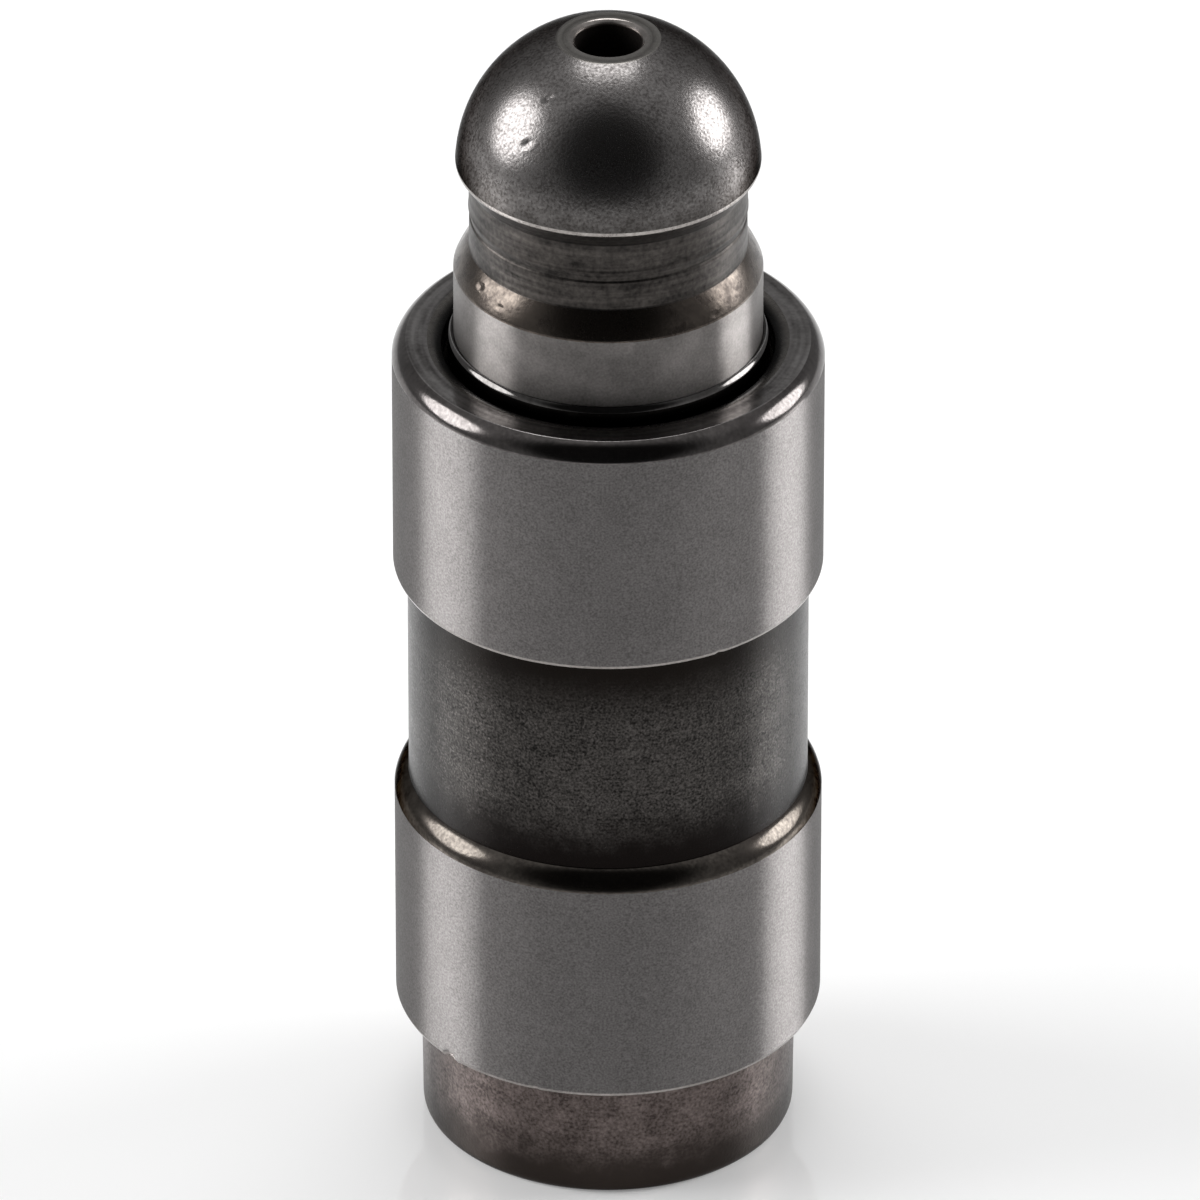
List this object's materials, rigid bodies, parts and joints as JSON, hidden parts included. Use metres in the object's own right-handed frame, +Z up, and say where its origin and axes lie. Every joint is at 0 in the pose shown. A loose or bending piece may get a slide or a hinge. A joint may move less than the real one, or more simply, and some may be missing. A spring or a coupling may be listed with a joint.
{
  "type": "hydraulic valve lifter",
  "caption": "Pivot-type hydraulic valve lifter: a ground steel cup with an oil groove, and a spring-loaded plunger with a drilled ball head that takes up valve lash.",
  "frame": {"origin": "centre of the base's underside, on the lifter's axis", "axes": "+Z up the axis towards the ball head, the camera of the picture on the -Y side, the oil feed hole on +Y"},
  "size_m": [0.012, 0.012, 0.0344],
  "materials": {
    "ground_steel": "hardened steel, ground on the lands, dark from heat treatment in the groove and on the base",
    "plunger_steel": "hardened steel, tumbled ball head, turned neck, ground stem",
    "lapped_steel": "lapped hardened steel",
    "pressed_sheet": "pressed sheet steel",
    "polished_ball": "polished bearing steel",
    "spring_wire": "drawn spring wire, oil tempered"
  },
  "bodies": {
    "housing": {"body": "ground_steel", "retaining_ring": "spring_wire", "plunger_spring": "spring_wire"},
    "lower_plunger": {"leakdown_plunger": "lapped_steel", "ball_retainer": "pressed_sheet", "check_ball_spring": "spring_wire"},
    "ball_head": {"ball_plunger": "plunger_steel"},
    "valve_ball": {"check_ball": "polished_ball"}
  },
  "joints": [
    {"name": "plunger_slide", "type": "slide", "parent": "housing", "child": "lower_plunger", "axis": [0, 0, 1], "range_m": [-0.0035, 0], "stiffness_N_per_m": 4000, "springref_m": 0.004, "deforming": ["plunger_spring"]},
    {"name": "plunger_swivel", "type": "hinge", "parent": "lower_plunger", "child": "ball_head", "pos_m": [0, 0, 0.0152], "axis": [0, 0, 1], "continuous": true},
    {"name": "check_ball_lift", "type": "slide", "parent": "lower_plunger", "child": "valve_ball", "axis": [0, 0, 1], "range_m": [-0.00025, 0], "stiffness_N_per_m": 900, "springref_m": 0.0003, "deforming": ["check_ball_spring"]}
  ]
}
